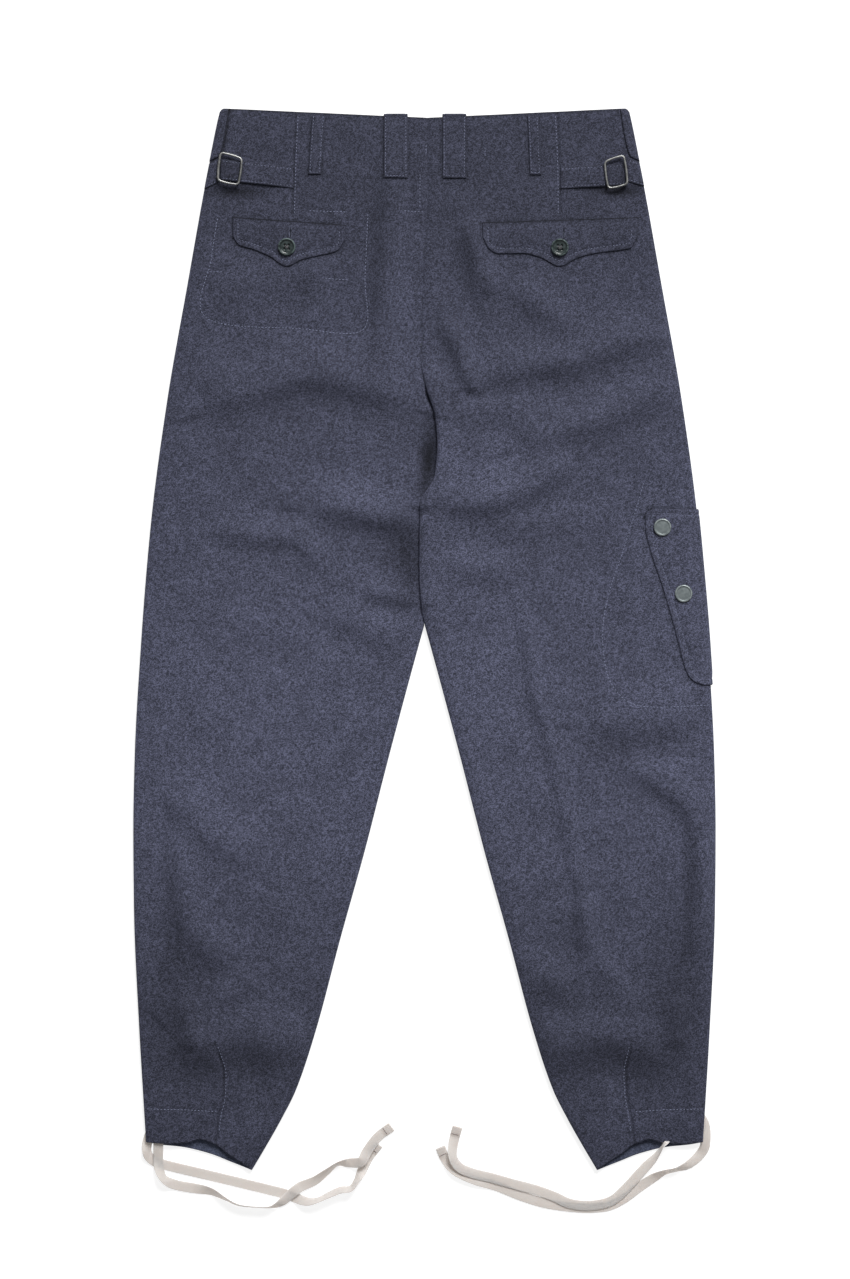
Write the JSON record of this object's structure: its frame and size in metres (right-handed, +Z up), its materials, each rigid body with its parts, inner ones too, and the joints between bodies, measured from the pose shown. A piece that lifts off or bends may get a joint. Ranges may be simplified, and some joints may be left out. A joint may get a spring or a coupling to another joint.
{
  "type": "military trousers",
  "caption": "Tapered high-waisted wool field trousers laid flat with the back up: belt loops, cinch straps with buckles, buttoned pocket flaps, a snapped thigh flap and ankle tapes.",
  "frame": {"origin": "middle of the flat trousers without the ankle tapes, on the surface that they lie on", "axes": "+X to the wearer's right, which is the right of the picture, +Y towards the waist, +Z up from the surface; the back of the trousers faces up"},
  "size_m": [0.583, 1.106, 0.0156],
  "materials": {
    "wool": "heavy milled blue-grey wool with heathered fibres",
    "cotton_tape": "undyed woven cotton tape",
    "buckle_wire": "nickelled steel wire",
    "button": "dark green-grey, lightly polished",
    "snap_cap": "grey-green painted metal, worn at the rim"
  },
  "bodies": {
    "root": {"front_left": "wool", "front_right": "wool", "fly": "wool", "front_wrap_left": "wool", "front_wrap_right": "wool", "back_left": "wool", "back_right": "wool", "belt_loop_narrow_left": "wool", "belt_loop_narrow_right": "wool", "belt_loop_wide_left": "wool", "belt_loop_wide_right": "wool", "cinch_strap_left": "wool", "cinch_strap_right": "wool", "cinch_tab_left": "wool", "cinch_tab_right": "wool", "pocket_flap_left": "wool", "pocket_flap_right": "wool", "thigh_flap": "wool", "ankle_tape_left_outer": "cotton_tape", "ankle_tape_left_inner": "cotton_tape", "ankle_tape_right_outer": "cotton_tape", "ankle_tape_right_inner": "cotton_tape", "buckle_left": "buckle_wire", "buckle_right": "buckle_wire", "pocket_button_left": "button", "pocket_button_right": "button", "thigh_snap_upper": "snap_cap", "thigh_snap_lower": "snap_cap"}
  },
  "joints": []
}
